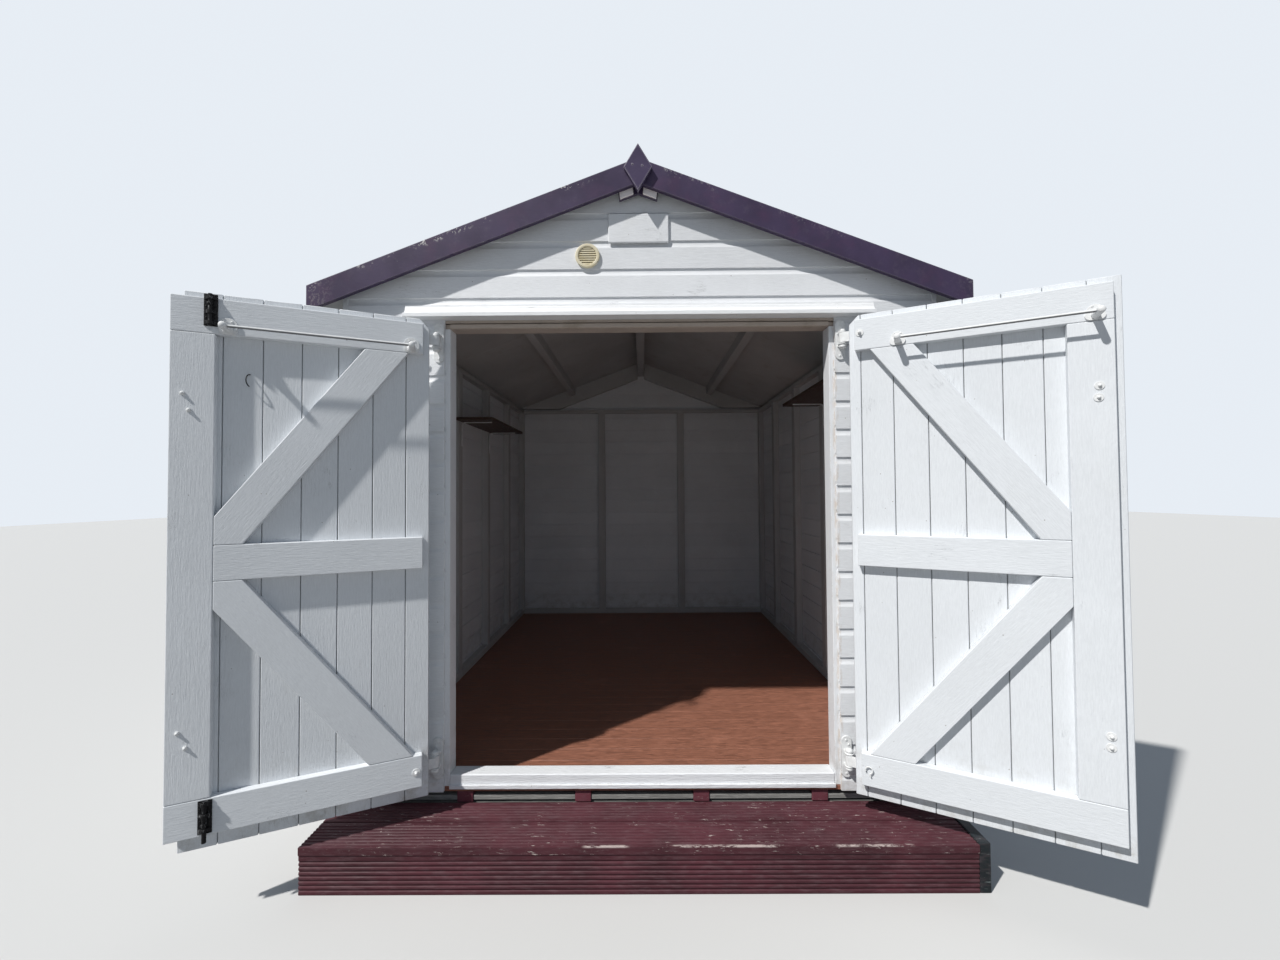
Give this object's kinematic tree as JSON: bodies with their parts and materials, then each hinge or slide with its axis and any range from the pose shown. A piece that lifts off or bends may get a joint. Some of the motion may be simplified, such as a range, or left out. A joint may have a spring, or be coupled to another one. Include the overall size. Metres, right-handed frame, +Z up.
{
  "type": "beach hut",
  "caption": "Small timber beach hut with felt gable roof, a pair of ledged and braced doors standing open, an unfurnished room and a low front step.",
  "frame": {"origin": "on the ground, under the middle of the floor, at the middle bearer's underside", "axes": "+X to the right seen from the front, +Y from the doors to the back wall, +Z up"},
  "size_m": [3.1033, 3.6472, 2.8077],
  "materials": {
    "white_paint": "painted timber, satin white, weathered",
    "door_paint": "painted timber, satin white, brushed",
    "interior_paint": "painted timber, matt white",
    "aubergine_paint": "painted timber, dark violet grey, chipped",
    "burgundy_paint": "painted timber, dark red, worn by feet",
    "grey_timber": "treated timber, dark grey, weathered",
    "floor_boards": "stained boards, red brown",
    "shelf_wood": "stained timber, dark brown",
    "felt": "mineral roofing felt, dark grey",
    "painted_iron": "forged iron painted white",
    "black_iron": "iron with black paint",
    "cream_plastic": "moulded plastic, cream, faded",
    "plate_paint": "painted board, white"
  },
  "bodies": {
    "hut": {"bearers": "grey_timber", "floor_joists": "burgundy_paint", "joist_blocking": "grey_timber", "floor": "floor_boards", "left_wall": "white_paint", "right_wall": "white_paint", "back_wall": "white_paint", "front_wall": "white_paint", "front_gable": "white_paint", "wall_studs": "interior_paint", "wall_plates": "interior_paint", "gable_rafters": "interior_paint", "ridge_beam": "interior_paint", "purlins": "interior_paint", "door_posts": "white_paint", "door_head": "white_paint", "door_sill": "white_paint", "drip_mould": "white_paint", "roof_left": "interior_paint", "roof_right": "interior_paint", "roof_felt": "felt", "eaves_boards": "aubergine_paint", "front_bargeboards": "aubergine_paint", "back_bargeboards": "aubergine_paint", "finials": "aubergine_paint", "apex_battens": "white_paint", "number_plate": "plate_paint", "vent": "cream_plastic", "left_shelf": "shelf_wood", "right_shelf": "shelf_wood", "step_boards": "burgundy_paint", "step_fascia": "burgundy_paint", "step_bearers": "grey_timber", "step_end": "grey_timber", "hook_plates": "painted_iron"},
    "door_left": {"left_door_boards": "door_paint", "left_door_ledges": "door_paint", "left_door_straps": "painted_iron", "left_door_bolts": "black_iron", "left_door_rail": "painted_iron"},
    "door_right": {"right_door_boards": "door_paint", "right_door_ledges": "door_paint", "right_door_straps": "painted_iron", "right_door_rail": "painted_iron"}
  },
  "joints": [
    {"name": "left_door_hinge", "type": "hinge", "parent": "hut", "child": "door_left", "pos_m": [-0.821, -1.553, 1.1945], "axis": [0, 0, -1], "range_deg": [-155, 21]},
    {"name": "right_door_hinge", "type": "hinge", "parent": "hut", "child": "door_right", "pos_m": [0.821, -1.553, 1.1945], "axis": [0, 0, 1], "range_deg": [-152, 24]}
  ]
}
